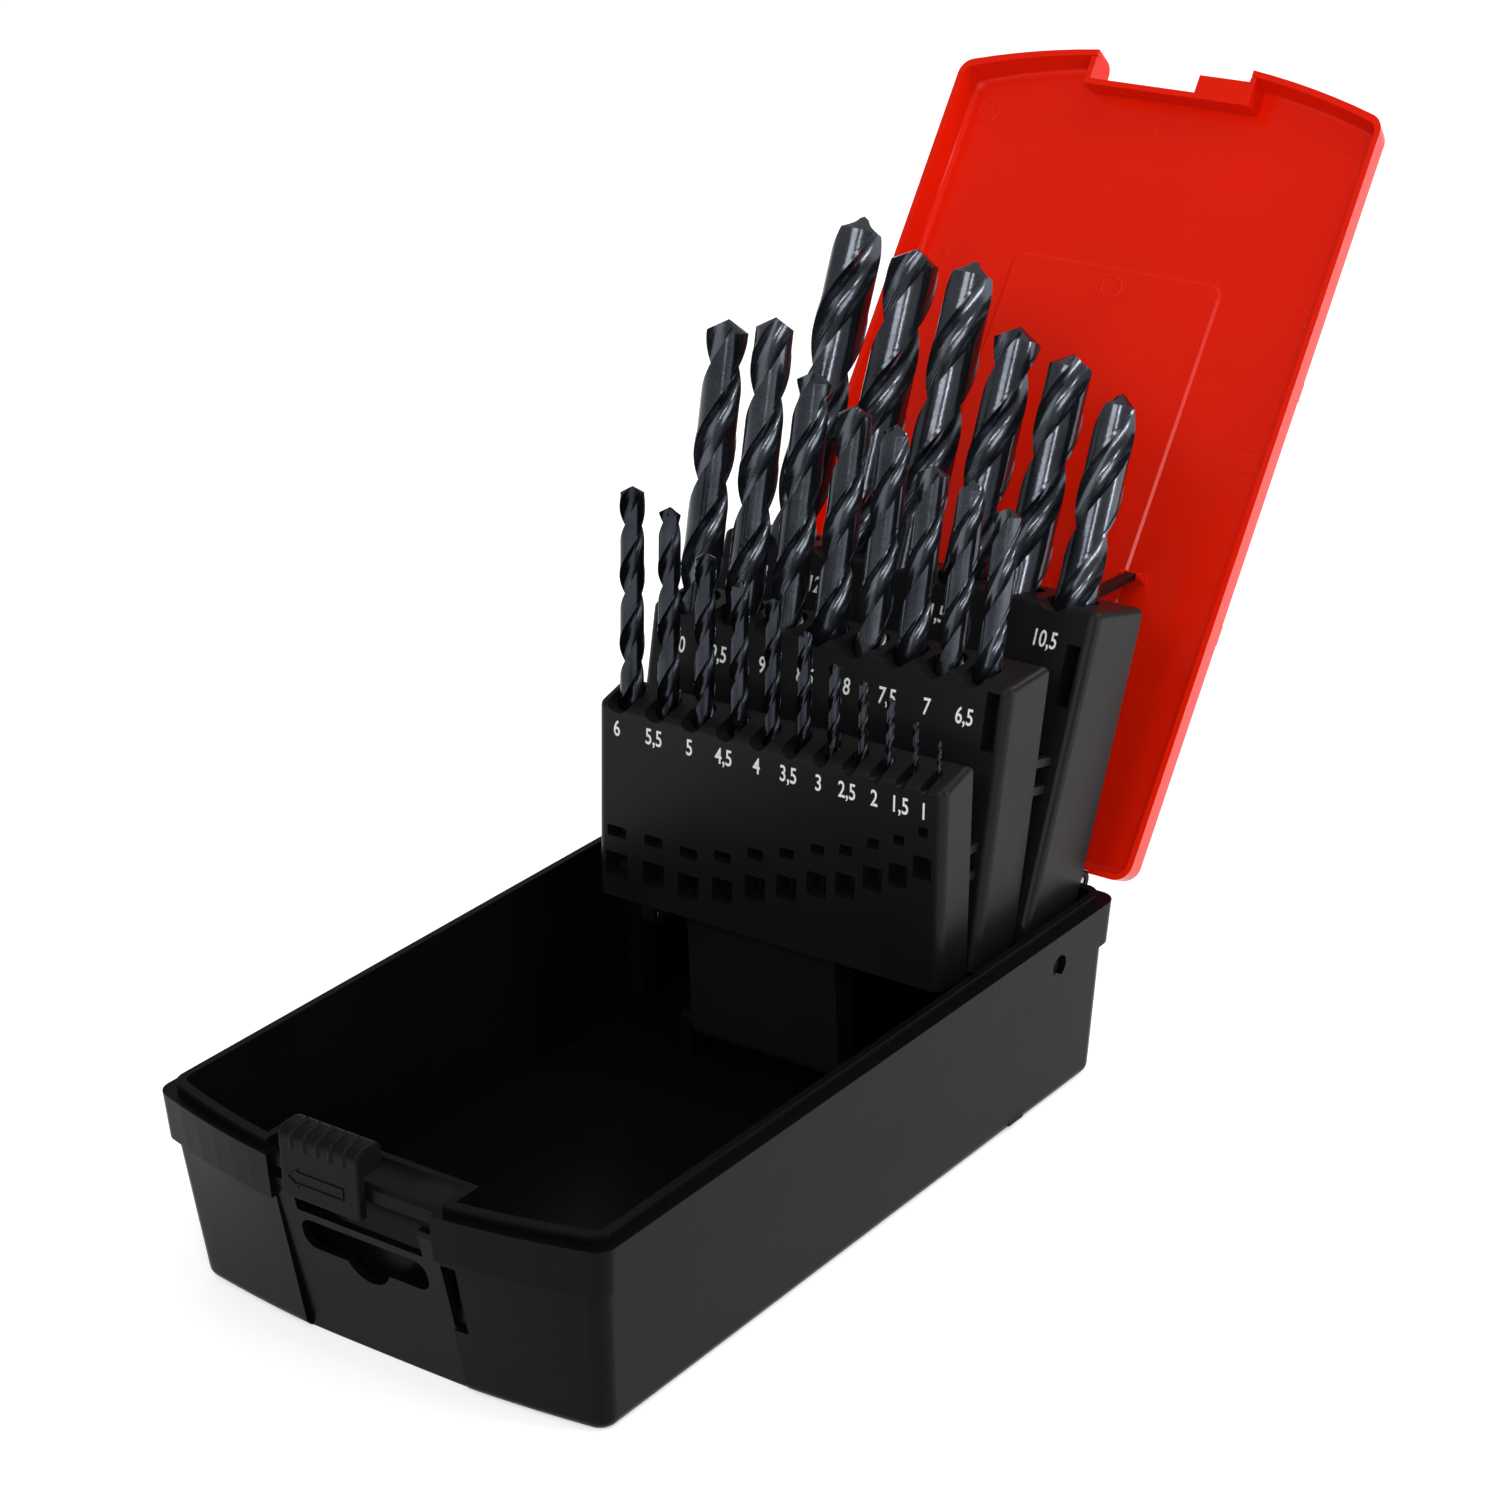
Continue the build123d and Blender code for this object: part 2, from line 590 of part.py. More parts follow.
middle_half = rack_half["middle"]
with BuildPart() as rack_middle:
    add(rack_block("middle"))
    for side in (-1, 1):
        leg_x = tuple(sorted((side * middle_half, side * (middle_half - middle_leg_width))))
        add(leg(leg_x, "middle", seat_point("middle")[0] - leg_radius, seat_point("middle")[0] + leg_radius))
        rod_along_x(leg_x, *seat_point("middle"), pin_radius, Mode.SUBTRACT)
rack_middle.part = rack_place("middle") * rack_middle.part
rack_middle.part.label = "rack_middle"
export_step(rack_middle.part, "parts/rack_middle.step")

rear_half = rack_half["rear"]
with BuildPart() as rack_rear:
    add(rack_block("rear", True))
    for side in (-1, 1):
        trunnion = tuple(sorted((side * (rear_half - 1), side * trunnion_end_x)))
        rod_along_x(trunnion, *seat_point("rear"), trunnion_diameter / 2)
    behind, above = link_pivot
    tip_z = above - link_length
    for x in (-link_x, link_x):
        half_channel = link_width / 2 + link_side_gap
        channel_y = (rack_sizes["rear"]["thick"] - channel_depth, rack_sizes["rear"]["thick"] + 1)
        box_between((x - half_channel, x + half_channel), channel_y, (tip_z - tip_room, channel_top),
                    Mode.SUBTRACT)
        box_between((x - ear_room, x + ear_room), channel_y, (tip_z - ear_room_below, tip_z + ear_room_above),
                    Mode.SUBTRACT)
        reach = link_width / 2 + link_pin_reach + link_side_gap
        rod_along_x((x - reach, x + reach), behind, above, link_pin_radius + link_pin_gap, Mode.SUBTRACT)
rack_rear.part = rack_place("rear") * rack_rear.part
rack_rear.part.label = "rack_rear"
export_step(rack_rear.part, "parts/rack_rear.step")


# Link levers, drawn lying along Y from the pivot and then turned to the open angle
for label, x in (("lid_link_left", -link_x), ("lid_link_right", link_x)):
    with BuildPart() as lid_link:
        with BuildSketch(Plane.YZ.offset(x - link_width / 2)):
            with BuildLine():
                Polyline((0, -link_root_radius), (link_length, -link_tip_radius),
                         (link_length, link_tip_radius), (0, link_root_radius), close=True)
            make_face()
            Circle(link_root_radius)
            with Locations((link_length, 0)):
                Circle(link_tip_radius)
        extrude(amount=link_width)
        reach = link_width / 2 + link_pin_reach
        rod_along_x((x - reach, x + reach), 0, 0, link_pin_radius)
    pivot_place = Location((0, *link_pivot), (link_open_angle, 0, 0))
    lid_link.part = rack_place("rear") * pivot_place * lid_link.part
    lid_link.part.label = label
    export_step(lid_link.part, "parts/" + label + ".step")


def export_pin(label, x_range, y, z, radius):
    """Steel pin along X, written to its own file."""
    with BuildPart() as pin:
        rod_along_x(x_range, y, z, radius)
        chamfer(pin.edges().filter_by(GeomType.CIRCLE), pin_chamfer)
    pin.part.label = label
    export_step(pin.part, "parts/" + label + ".step")


pin_reach = lug_gap + lug_width - pin_setback
export_pin("pivot_pin_front", (front_leg[0] - pin_reach, front_leg[1] + pin_reach),
           *rack_sizes["front"]["pivot"], pin_radius)
inner_x = middle_half - middle_leg_width
export_pin("pivot_pin_middle_left", (-middle_pin_end_x, -inner_x), *rack_sizes["middle"]["pivot"], pin_radius)
export_pin("pivot_pin_middle_right", (inner_x, middle_pin_end_x), *rack_sizes["middle"]["pivot"], pin_radius)
hinge_reach = lid_knuckle_length / 2 + knuckle_gap + base_knuckle_length - pin_setback
export_pin("hinge_pin_left", (-hinge_middle_x - hinge_reach, -hinge_middle_x + hinge_reach),
           hinge_y, hinge_z, hinge_pin_diameter / 2)
export_pin("hinge_pin_right", (hinge_middle_x - hinge_reach, hinge_middle_x + hinge_reach),
           hinge_y, hinge_z, hinge_pin_diameter / 2)


def twist_drill(diameter):
    """Two-flute twist drill standing on its shank end at the origin."""
    length, flute_length = jobber_lengths[diameter]
    shank = length - flute_length
    radius = diameter / 2
    point = radius / tan(radians(point_angle / 2))
    relief = radius - land_relief_share * diameter
    flute_squares = flute_centre_share ** 2 + 0.5 ** 2 - flute_radius_share ** 2
    flute_edge = degrees(acos(flute_squares / flute_centre_share))
    relief_end = 180 - flute_edge - margin_angle
    with BuildSketch(mode=Mode.PRIVATE) as section:
        Circle(radius)
        for start in (0, 180):
            with BuildLine(mode=Mode.PRIVATE) as land:
                CenterArc((0, 0), relief, start, relief_end)
                CenterArc((0, 0), 2 * radius, start, relief_end)
                Line(land.edges()[0] @ 0, land.edges()[1] @ 0)
                Line(land.edges()[0] @ 1, land.edges()[1] @ 1)
            add(make_face(land.edges(), mode=Mode.PRIVATE), mode=Mode.SUBTRACT)
        with PolarLocations(flute_centre_share * diameter, 2):
            Circle(flute_radius_share * diameter, mode=Mode.SUBTRACT)
    turns = flute_length / (helix_lead * diameter) * 360
    fluted = Solid.extrude_linear_with_rotation(section.face(), center=(0, 0, 0),
                                                normal=(0, 0, flute_length), angle=turns)
    with BuildPart(mode=Mode.PRIVATE) as ground:
        with BuildSketch(Plane.XZ):
            with BuildLine():
                Polyline((0, -1), (2 * radius, -1), (2 * radius, flute_length - 2 * point),
                         (0, flute_length), close=True)
            make_face()
        revolve(axis=Axis.Z)
    with BuildPart(mode=Mode.PRIVATE) as drill:
        with Locations((0, 0, shank / 2)):
            Cylinder(radius, shank)
        chamfer(drill.edges().sort_by(Axis.Z)[0], shank_end_chamfer * diameter)
        add(Pos(0, 0, shank) * (fluted & ground.part))
    return drill.part


turn = 0.0
for name in ("front", "middle", "rear"):
    half_thick = rack_sizes[name]["thick"] / 2
    for x, (diameter, depth, window) in zip(drill_places(name), drill_rows[name]):
        turn += drill_turn_step
        with BuildPart() as drill:
            add(rack_place(name) * Pos(x, half_thick, -depth) * Rotation(0, 0, turn) * twist_drill(diameter))
        drill.part.label = "drill_%04.1f" % diameter
        drill.part.label = drill.part.label.replace(".", "_")
        export_step(drill.part, "parts/" + drill.part.label + ".step")
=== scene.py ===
import bpy
import math
from mathutils import Matrix, Vector


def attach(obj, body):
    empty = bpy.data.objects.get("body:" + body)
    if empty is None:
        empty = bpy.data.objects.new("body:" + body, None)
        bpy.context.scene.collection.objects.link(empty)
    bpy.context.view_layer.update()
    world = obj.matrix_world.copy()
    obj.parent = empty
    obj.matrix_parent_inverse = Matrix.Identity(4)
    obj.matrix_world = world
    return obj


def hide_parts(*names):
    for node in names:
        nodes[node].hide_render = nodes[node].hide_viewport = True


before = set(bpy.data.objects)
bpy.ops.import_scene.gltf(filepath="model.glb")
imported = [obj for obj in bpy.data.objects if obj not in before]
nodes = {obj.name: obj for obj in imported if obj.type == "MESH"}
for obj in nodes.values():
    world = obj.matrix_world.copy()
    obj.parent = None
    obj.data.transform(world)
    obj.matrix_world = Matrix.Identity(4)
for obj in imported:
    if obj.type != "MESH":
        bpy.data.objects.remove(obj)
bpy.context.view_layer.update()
print("frame loaded:", len(nodes), "nodes")

mm = 0.001  # pieces are given in millimetres; patterns, bumps, stage and lamps in metres


def pickOnly(obj):
    bpy.ops.object.select_all(action='DESELECT')
    obj.select_set(True)
    bpy.context.view_layer.objects.active = obj


def bakePlace(obj):  # puts the object at the origin, its place in its mesh
    pickOnly(obj)
    bpy.ops.object.transform_apply(location=True, rotation=True, scale=True)


def newObject(name, data):
    obj = bpy.data.objects.new(name, data)
    bpy.context.scene.collection.objects.link(obj)
    return obj


def addRound(obj, width, segments):
    bevel = obj.modifiers.new("edgeRound", 'BEVEL')
    bevel.width = width * mm
    bevel.segments = segments
    bevel.limit_method = 'ANGLE'
    return bevel


def applyModifiers(obj):
    pickOnly(obj)
    for modifier in list(obj.modifiers):
        bpy.ops.object.modifier_apply(modifier=modifier.name)


def paint(obj, material):
    obj.data.materials.clear()
    obj.data.materials.append(material)


def newMaterial(name):
    material = bpy.data.materials.new(name)
    material.use_nodes = True
    tree = material.node_tree
    return material, tree, tree.nodes["Principled BSDF"]


def objectPattern(tree, kind, scale, **inputs):
    place = tree.nodes.new("ShaderNodeTexCoord")
    pattern = tree.nodes.new(kind)
    pattern.inputs["Scale"].default_value = scale
    for key, value in inputs.items():
        pattern.inputs[key].default_value = value
    tree.links.new(place.outputs["Object"], pattern.inputs["Vector"])
    return pattern


def ramp(tree, source, span, colours):  # two colours blended over a span of the source
    node = tree.nodes.new("ShaderNodeValToRGB")
    for point, position, colour in zip(node.color_ramp.elements, span, colours):
        point.position = position
        point.color = (*colour, 1)
    tree.links.new(source, node.inputs["Fac"])
    return node


def greys(*values):
    return [(value, value, value) for value in values]


def mathNode(tree, operation, *sources):
    node = tree.nodes.new("ShaderNodeMath")
    node.operation = operation
    for source, socket in zip(sources, node.inputs):
        tree.links.new(source, socket)
    return node


def bumpNode(tree, height, strength, distance):
    node = tree.nodes.new("ShaderNodeBump")
    node.inputs["Strength"].default_value = strength
    node.inputs["Distance"].default_value = distance
    tree.links.new(height, node.inputs["Height"])
    return node


# rough is the span of gloss, grain the strength of the mould skin, dust the pattern level from
# which dust shows, drift the share by which the colour changes either way
plasticLooks = {
    "tray": dict(colour=(0.0028, 0.0028, 0.0035), rough=(0.24, 0.33), specular=0.055,
                 grain=0.04, dust=0.66, drift=0.10),
    "rack": dict(colour=(0.0072, 0.0072, 0.0078), rough=(0.32, 0.42), specular=0.13,
                 grain=0.06, dust=0.70, drift=0.10),
    "latch": dict(colour=(0.0060, 0.0060, 0.0068), rough=(0.32, 0.42), specular=0.060,
                  grain=0.05, dust=0.70, drift=0.10),
    "lid": dict(colour=(0.760, 0.0120, 0.0010), rough=(0.17, 0.22), specular=0.15,
                grain=0.02, dust=0.82, drift=0.02),
}
skinLook = dict(cloudScale=38, shadeSpan=(0.30, 0.70), glossSpan=(0.25, 0.75),
                speckScale=420, speckSpan=(0.05, 0.11), patchScale=60, patchSpan=(-0.06, 0.03),
                dustGain=1.3, dustLift=0.012, grainScale=2600, grainDepth=0.0002,
                waveScale=45, waveStrength=0.06, waveDepth=0.0005)


def mouldedPlastic(name, look, skin):
    material, tree, shader = newMaterial(name)
    link = tree.links.new
    colour, drift = look["colour"], look["drift"]
    shades = [[channel * gain for channel in colour] for gain in (1 - drift, 1 + drift)]
    dust = [min(1, channel * skin["dustGain"] + skin["dustLift"]) for channel in colour]
    patchSpan = [look["dust"] + shift for shift in skin["patchSpan"]]
    # slow drift of shade and gloss
    cloud = objectPattern(tree, "ShaderNodeTexNoise", skin["cloudScale"], Detail=5)
    shade = ramp(tree, cloud.outputs["Fac"], skin["shadeSpan"], shades)
    gloss = ramp(tree, cloud.outputs["Fac"], skin["glossSpan"], greys(*look["rough"]))
    link(gloss.outputs["Color"], shader.inputs["Roughness"])
    # fine settled dust, gathered in patches
    speck = objectPattern(tree, "ShaderNodeTexVoronoi", skin["speckScale"])
    speckMask = ramp(tree, speck.outputs["Distance"], skin["speckSpan"], greys(1, 0))
    patch = objectPattern(tree, "ShaderNodeTexNoise", skin["patchScale"], Detail=2)
    patchMask = ramp(tree, patch.outputs["Fac"], patchSpan, greys(0, 1))
    dustMask = mathNode(tree, 'MULTIPLY', speckMask.outputs["Color"], patchMask.outputs["Color"])
    dusted = tree.nodes.new("ShaderNodeMix")
    dusted.data_type = 'RGBA'
    link(dustMask.outputs["Value"], dusted.inputs["Factor"])
    link(shade.outputs["Color"], dusted.inputs["A"])
    dusted.inputs["B"].default_value = (*dust, 1)
    link(dusted.outputs["Result"], shader.inputs["Base Color"])
    # grain of the mould skin, and the slight sink of flat walls
    grain = objectPattern(tree, "ShaderNodeTexNoise", skin["grainScale"], Detail=3)
    grainBump = bumpNode(tree, grain.outputs["Fac"], look["grain"], skin["grainDepth"])
    wave = objectPattern(tree, "ShaderNodeTexNoise", skin["waveScale"], Detail=1)
    waveBump = bumpNode(tree, wave.outputs["Fac"], skin["waveStrength"], skin["waveDepth"])
    link(grainBump.outputs["Normal"], waveBump.inputs["Normal"])
    link(waveBump.outputs["Normal"], shader.inputs["Normal"])
    shader.inputs["Specular IOR Level"].default_value = look["specular"]
    return material


drillLooksShadedByRow = {  # one blued steel in lit and shaded copies, one per row: its colour is much darker on the front row as painted shade and a little lighter on the rear row than the middle as painted light; and the largest drill in each row
    "rack_front": dict(dark=(0.018, 0.021, 0.027), light=(0.037, 0.041, 0.050),
                       rough=(0.15, 0.25), largest=6),
    "rack_middle": dict(dark=(0.050, 0.057, 0.069), light=(0.092, 0.101, 0.118),
                        rough=(0.14, 0.24), largest=10),
    "rack_rear": dict(dark=(0.054, 0.060, 0.073), light=(0.098, 0.107, 0.124),
                      rough=(0.14, 0.24), largest=13),
}
blueLook = dict(metal=0.92, cloudScale=95, shadeSpan=(0.32, 0.70),
                grindScale=900, glossSpan=(0.30, 0.75), grindStrength=0.04, grindDepth=0.0001)


def bluedSteel(name, look, blue):
    material, tree, shader = newMaterial(name)
    link = tree.links.new
    cloud = objectPattern(tree, "ShaderNodeTexNoise", blue["cloudScale"], Detail=4)
    shade = ramp(tree, cloud.outputs["Fac"], blue["shadeSpan"], (look["dark"], look["light"]))
    link(shade.outputs["Color"], shader.inputs["Base Color"])
    grind = objectPattern(tree, "ShaderNodeTexNoise", blue["grindScale"], Detail=3)
    gloss = ramp(tree, grind.outputs["Fac"], blue["glossSpan"], greys(*look["rough"]))
    link(gloss.outputs["Color"], shader.inputs["Roughness"])
    bump = bumpNode(tree, grind.outputs["Fac"], blue["grindStrength"], blue["grindDepth"])
    link(bump.outputs["Normal"], shader.inputs["Normal"])
    shader.inputs["Metallic"].default_value = blue["metal"]
    return material


wireLook = dict(scale=500, span=(0.3, 0.7), dark=(0.36, 0.36, 0.37), light=(0.52, 0.52, 0.53),
                rough=(0.25, 0.42), metal=1.0)


def brightWire(name, look):
    material, tree, shader = newMaterial(name)
    link = tree.links.new
    cloud = objectPattern(tree, "ShaderNodeTexNoise", look["scale"], Detail=4)
    shade = ramp(tree, cloud.outputs["Fac"], look["span"], (look["dark"], look["light"]))
    link(shade.outputs["Color"], shader.inputs["Base Color"])
    gloss = ramp(tree, cloud.outputs["Fac"], look["span"], greys(*look["rough"]))
    link(gloss.outputs["Color"], shader.inputs["Roughness"])
    shader.inputs["Metallic"].default_value = look["metal"]
    return material


printLook = dict(scale=1800, shadeSpan=(0.26, 0.36), worn=0.45, white=0.86,
                 glossSpan=(0.3, 0.7), rough=(0.45, 0.60))


def whitePrint(name, look):
    material, tree, shader = newMaterial(name)
    link = tree.links.new
    wear = objectPattern(tree, "ShaderNodeTexNoise", look["scale"], Detail=3)
    shade = ramp(tree, wear.outputs["Fac"], look["shadeSpan"], greys(look["worn"], look["white"]))
    link(shade.outputs["Color"], shader.inputs["Base Color"])
    gloss = ramp(tree, wear.outputs["Fac"], look["glossSpan"], greys(*look["rough"]))
    link(gloss.outputs["Color"], shader.inputs["Roughness"])
    return material


trayPlastic = mouldedPlastic("trayPlastic", plasticLooks["tray"], skinLook)
rackPlastic = mouldedPlastic("rackPlastic", plasticLooks["rack"], skinLook)
latchPlastic = mouldedPlastic("latchPlastic", plasticLooks["latch"], skinLook)
lidPlastic = mouldedPlastic("lidPlastic", plasticLooks["lid"], skinLook)
drillSteelsShadedByRow = {}
# each row gets its own copy of the steel, which carries that row's painted shade or painted light
for rack, look in drillLooksShadedByRow.items():
    row = rack.split("_")[1].capitalize()
    drillSteelsShadedByRow[rack] = bluedSteel("drillSteel" + row, look, blueLook)
pinWire = brightWire("pinWire", wireLook)
numberPrint = whitePrint("numberPrint", printLook)


# a drill gets the steel copy of its row, with that row's painted shade or painted light
def drillSteel(size):
    rack = next(rack for rack, look in drillLooksShadedByRow.items() if size <= look["largest"])
    return drillSteelsShadedByRow[rack]


for name, node in nodes.items():
    if name.startswith("drill_"):
        paint(node, drillSteel(float(name[len("drill_"):].replace("_", "."))))
    elif "_pin" in name:
        paint(node, pinWire)
    elif name.startswith("lid_link"):
        paint(node, rackPlastic)
print("materials on all carried-over nodes")


# Each moulded node gets a merged copy, on which edges sharper than the smooth angle, less a
# margin, are rounded. Angles are in degrees.
moulded = {
    "case_base": dict(body="tray", slot="tray_plastic", material=trayPlastic,
                      round=0.22, smooth=30),
    "latch_slider": dict(body="latch", slot="latch_plastic", material=latchPlastic,
                         round=0.22, smooth=30),
    "lid": dict(body="lid", slot="lid_plastic", material=lidPlastic,
                round=0.20, smooth=26),
    "rack_front": dict(body="rack_front", slot="rack_plastic", material=rackPlastic,
                       round=0.40, smooth=30),
    "rack_middle": dict(body="rack_middle", slot="rack_plastic", material=rackPlastic,
                        round=0.45, smooth=30),
    "rack_rear": dict(body="rack_rear", slot="rack_plastic", material=rackPlastic,
                      round=0.45, smooth=30),
}
roundLook = dict(merge=0.004, flat=0.1, margin=2, segments=2, wallWeight=50)


def softened(nodeName, look, edge):
    node = nodes[nodeName]
    copy = newObject(nodeName + "_moulded", node.data.copy())
    pickOnly(copy)
    bpy.ops.object.mode_set(mode='EDIT')
    bpy.ops.mesh.select_all(action='SELECT')
    bpy.ops.mesh.remove_doubles(threshold=edge["merge"] * mm)
    bpy.ops.mesh.dissolve_limited(angle_limit=math.radians(edge["flat"]))
    bpy.ops.object.mode_set(mode='OBJECT')
    bpy.ops.object.shade_smooth_by_angle(angle=math.radians(look["smooth"]))
    bevel = addRound(copy, look["round"], edge["segments"])
    bevel.angle_limit = math.radians(look["smooth"] - edge["margin"])
    bevel.use_clamp_overlap = True
    bevel.harden_normals = True
    bevel.miter_outer = 'MITER_ARC'
    flats = copy.modifiers.new("flatWalls", 'WEIGHTED_NORMAL')  # wide walls stay flat
    flats.mode = 'FACE_AREA'
    flats.weight = edge["wallWeight"]
    flats.keep_sharp = True
    applyModifiers(copy)
    paint(copy, look["material"])
    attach(copy, look["body"])
    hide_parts(nodeName)
    print("  softened", nodeName, len(copy.data.polygons), "faces")


for nodeName, look in moulded.items():
    softened(nodeName, look, roundLook)
print("edges rounded")


# Each row of numbers: the rack's pivot (Y, Z), how far the pivot lies behind and above the top
# front edge, the lean in degrees, how far the numbers lie below that edge, the drills' sizes
# from left to right, and the X of the first and the last drill.
numberRows = {
    "rack_front": dict(pivot=(46.0, 11.4), seat=(8.6, -77.6), lean=3.45, below=3.7,
                       sizes=(6, 5.5, 5, 4.5, 4, 3.5, 3, 2.5, 2, 1.5, 1), ends=(-43.3, 43.8)),
    "rack_middle": dict(pivot=(61.0, 27.8), seat=(12.8, -77.6), lean=13.1, below=6.6,
                        sizes=(10, 9.5, 9, 8.5, 8, 7.5, 7, 6.5), ends=(-43.2, 39.8)),
    "rack_rear": dict(pivot=(72.8, 38.6), seat=(6.8, -80.0), lean=23.9, below=6.6,
                      sizes=(13, 12.5, 12, 11.5, 11, 10.5), ends=(-40.1, 41.3)),
}
numberLook = dict(height=3.9, narrow=0.74, thick=0.05, bold=0.012, facets=6,
                  words={10: "10,0"})  # sizes whose number keeps its zero


def rackMatrix(row):  # X along the row, Y up the rack, Z out of the front face
    lean = math.radians(row["lean"])
    up = Vector((0, math.sin(lean), math.cos(lean)))
    back = Vector((0, math.cos(lean), -math.sin(lean)))
    pivot = Vector((0, *row["pivot"]))
    behind, above = row["seat"]
    origin = (pivot - up * above - back * behind) * mm
    turn = Matrix((Vector((1, 0, 0)), up, -back)).transposed().to_4x4()
    return Matrix.Translation(origin) @ turn


def drillPlaces(sizes, ends):  # the gaps between neighbours are all the same
    spread = sum(sizes) - (sizes[0] + sizes[-1]) / 2
    gap = (ends[1] - ends[0] - spread) / (len(sizes) - 1)
    places = [ends[0]]
    for left, right in zip(sizes, sizes[1:]):
        places.append(places[-1] + (left + right) / 2 + gap)
    return places


def printedWord(name, word, centre, matrix, look):
    bpy.ops.object.select_all(action='DESELECT')
    bpy.ops.object.text_add(location=(0, 0, 0))
    text = bpy.context.object
    text.name = name
    text.data.body = word
    text.data.align_x = 'CENTER'
    text.data.extrude = 0.5  # to both sides, so one unit thick
    text.data.offset = look["bold"]
    text.data.resolution_u = look["facets"]
    pickOnly(text)
    bpy.ops.object.convert(target='MESH')
    tall = max(v.co.y for v in text.data.vertices)  # digits stand on the base line
    size = look["height"] * mm / tall
    text.scale = (size * look["narrow"], size, look["thick"] * mm)
    text.location = (centre[0] * mm, centre[1] * mm - look["height"] * mm / 2, 0)
    bakePlace(text)
    text.data.transform(matrix)
    return text


numberCount = 0
for rack, row in numberRows.items():
    matrix = rackMatrix(row)
    for size, x in zip(row["sizes"], drillPlaces(row["sizes"], row["ends"])):
        word = numberLook["words"].get(size, ("%g" % size).replace(".", ","))
        name = "number_" + word.replace(",", "_")
        number = printedWord(name, word, (x, -row["below"]), matrix, numberLook)
        paint(number, numberPrint)
        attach(number, rack)
        numberCount += 1
print("numbers printed:", numberCount)


arrowLook = dict(x=-16.2, z=44.6, head=3.6, headHalf=2.3, shaft=12.6, shaftHalf=1.55,
                 line=0.42, proud=0.30, sunk=0.05, round=0.10, segments=2, face=-107.0, smooth=40)


def latchArrow(look):  # raised outline of an arrow that points to the open side
    neck, end = look["head"], look["head"] + look["shaft"]
    points = [(0, 0), (neck, look["headHalf"]), (neck, look["shaftHalf"]),
              (end, look["shaftHalf"]), (end, -look["shaftHalf"]),
              (neck, -look["shaftHalf"]), (neck, -look["headHalf"])]
    root = look["face"] + look["sunk"]
    rise = (look["proud"] + look["sunk"]) * mm
    bpy.ops.object.select_all(action='DESELECT')
    bpy.ops.mesh.primitive_circle_add(vertices=len(points), radius=mm, fill_type='NGON')
    arrow = bpy.context.object
    arrow.name = "latch_arrow"
    for vertex, (x, z) in zip(arrow.data.vertices, points):
        vertex.co = ((look["x"] + x) * mm, root * mm, (look["z"] + z) * mm)
    bpy.ops.object.mode_set(mode='EDIT')
    bpy.ops.mesh.select_all(action='SELECT')
    bpy.ops.mesh.inset(thickness=look["line"] * mm)
    bpy.ops.mesh.delete(type='ONLY_FACE')
    bpy.ops.mesh.select_all(action='SELECT')
    bpy.ops.mesh.extrude_region_move(TRANSFORM_OT_translate={"value": (0, -rise, 0)})
    bpy.ops.mesh.select_all(action='SELECT')
    bpy.ops.mesh.normals_make_consistent(inside=False)
    bpy.ops.object.mode_set(mode='OBJECT')
    addRound(arrow, look["round"], look["segments"])
    applyModifiers(arrow)
    bpy.ops.object.shade_smooth_by_angle(angle=math.radians(look["smooth"]))
    bakePlace(arrow)
    return arrow


arrow = latchArrow(arrowLook)
paint(arrow, latchPlastic)
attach(arrow, "latch")


# finger ribs that run from the latch's top over its rounded front edge
ribLook = dict(middle=-6.8, pitch=3.6, count=5, back=-102.6, face=-106.7, top=55.65,
               bend=2.5, bendSteps=6, low=51.4, depth=0.74, facets=4, smooth=50)


def ribPath(look):  # Y and Z along the rib's middle line
    path = [(look["back"], look["top"])]
    for step in range(look["bendSteps"] + 1):
        turn = math.radians(90 * step / look["bendSteps"])
        path.append((look["face"] + look["bend"] * (1 - math.sin(turn)),
                     look["top"] - look["bend"] * (1 - math.cos(turn))))
    path.append((look["face"], look["low"]))
    return path


def fingerRib(name, x, look):
    path = ribPath(look)
    curve = bpy.data.curves.new("ribPath", 'CURVE')
    curve.dimensions = '3D'
    curve.bevel_depth = look["depth"] * mm
    curve.bevel_resolution = look["facets"]
    curve.use_fill_caps = True
    spline = curve.splines.new('POLY')
    spline.points.add(len(path) - 1)
    for point, (y, z) in zip(spline.points, path):
        point.co = (x * mm, y * mm, z * mm, 1)
    pickOnly(newObject(name, curve))
    bpy.ops.object.convert(target='MESH')
    bpy.ops.object.shade_smooth_by_angle(angle=math.radians(look["smooth"]))
    return bpy.context.object


for rib in range(ribLook["count"]):
    x = ribLook["middle"] + (rib - (ribLook["count"] - 1) / 2) * ribLook["pitch"]
    finger = fingerRib("latch_rib_%d" % (rib + 1), x, ribLook)
    paint(finger, latchPlastic)
    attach(finger, "latch")


# Ejector rings: X and reach from the hinge on the shut lid. The plateau stands lower by its step.
lidHinge = Vector((0, 100.8, 46.6)) * mm
lidOpen = math.radians(126)
markLook = dict(radius=2.8, line=0.26, sunk=0.11, inner=6.9, turns=64, facets=10,
                places=((-52.6, 188.5), (52.6, 188.5), (0, 188.3), (-52.6, 147.6),
                        (52.6, 147.6), (0, 147.6), (-52.5, 110.4), (52.5, 110.4)))
plateauLook = dict(half=29, near=47, far=152, step=0.4)


def lidMark(name, x, reach, look, plateau):
    onPlateau = abs(x) < plateau["half"] and plateau["near"] < reach < plateau["far"]
    inner = look["inner"] - (plateau["step"] if onPlateau else 0)
    bpy.ops.object.select_all(action='DESELECT')
    bpy.ops.mesh.primitive_torus_add(
        major_radius=look["radius"] * mm, minor_radius=look["line"] * mm,
        major_segments=look["turns"], minor_segments=look["facets"],
        location=(x * mm, lidHinge.y - reach * mm, lidHinge.z + (inner + look["sunk"]) * mm))
    mark = bpy.context.object
    mark.name = name
    bakePlace(mark)
    bpy.ops.object.shade_smooth()
    return mark


